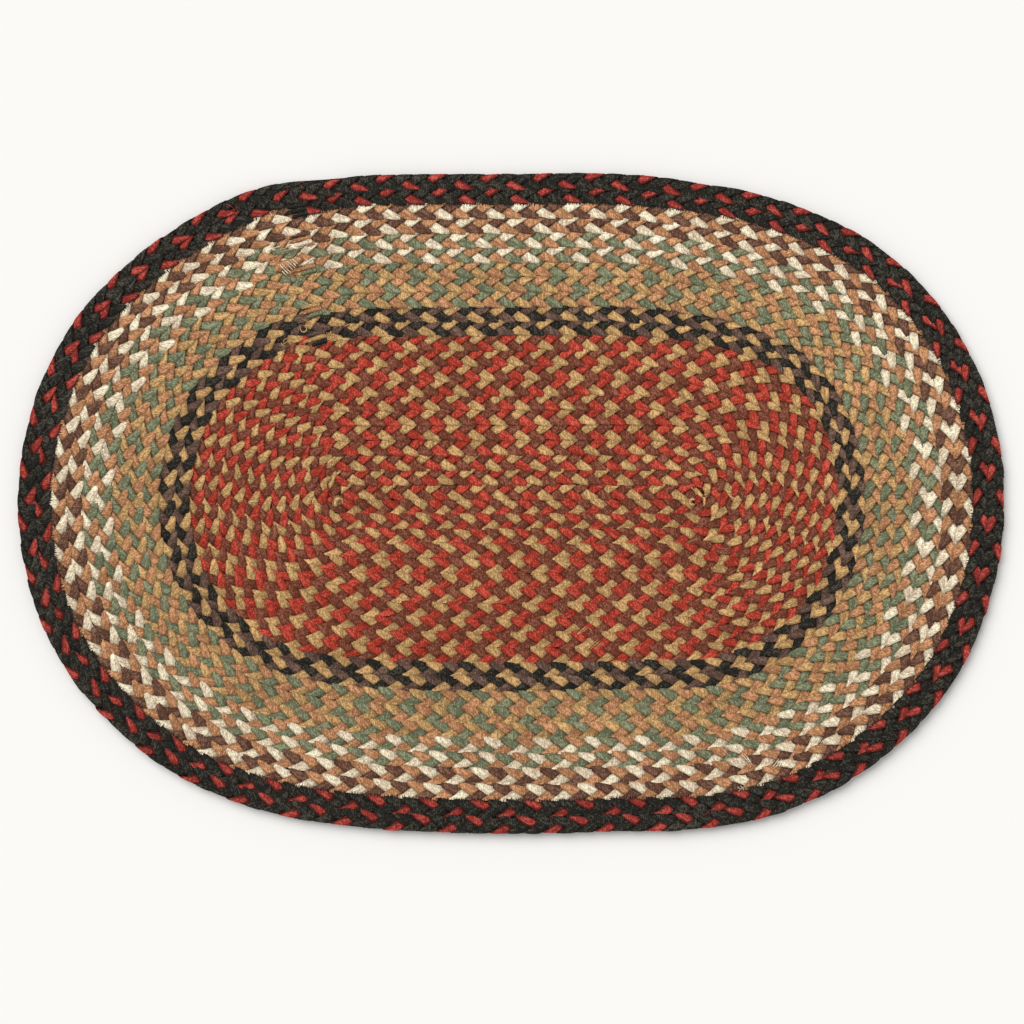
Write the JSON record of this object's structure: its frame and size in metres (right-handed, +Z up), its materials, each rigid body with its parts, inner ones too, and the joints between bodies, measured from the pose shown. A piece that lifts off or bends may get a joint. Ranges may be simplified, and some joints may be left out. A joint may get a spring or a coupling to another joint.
{
  "type": "oval braided rug",
  "caption": "Oval floor rug of three-strand jute braid, coiled flat and laced row to row, with colour changes in concentric bands.",
  "frame": {"origin": "middle of the underside, at the centre of the bounding box's bottom face", "axes": "+X along the rug's length, +Y across its width towards the upper edge of the picture, +Z up from the floor"},
  "size_m": [0.76, 0.5092, 0.008],
  "materials": {
    "red_gold_brown_jute": "matte braided jute",
    "black_gold_purple_jute": "matte braided jute",
    "green_gold_sienna_jute": "matte braided jute",
    "cream_sienna_green_jute": "matte braided jute",
    "cream_sienna_brown_jute": "matte braided jute",
    "black_red_jute": "matte braided jute"
  },
  "bodies": {
    "root": {"red_centre": "red_gold_brown_jute", "dark_ring": "black_gold_purple_jute", "green_gold_band": "green_gold_sienna_jute", "cream_green_band": "cream_sienna_green_jute", "cream_brown_band": "cream_sienna_brown_jute", "black_border": "black_red_jute"}
  },
  "joints": []
}
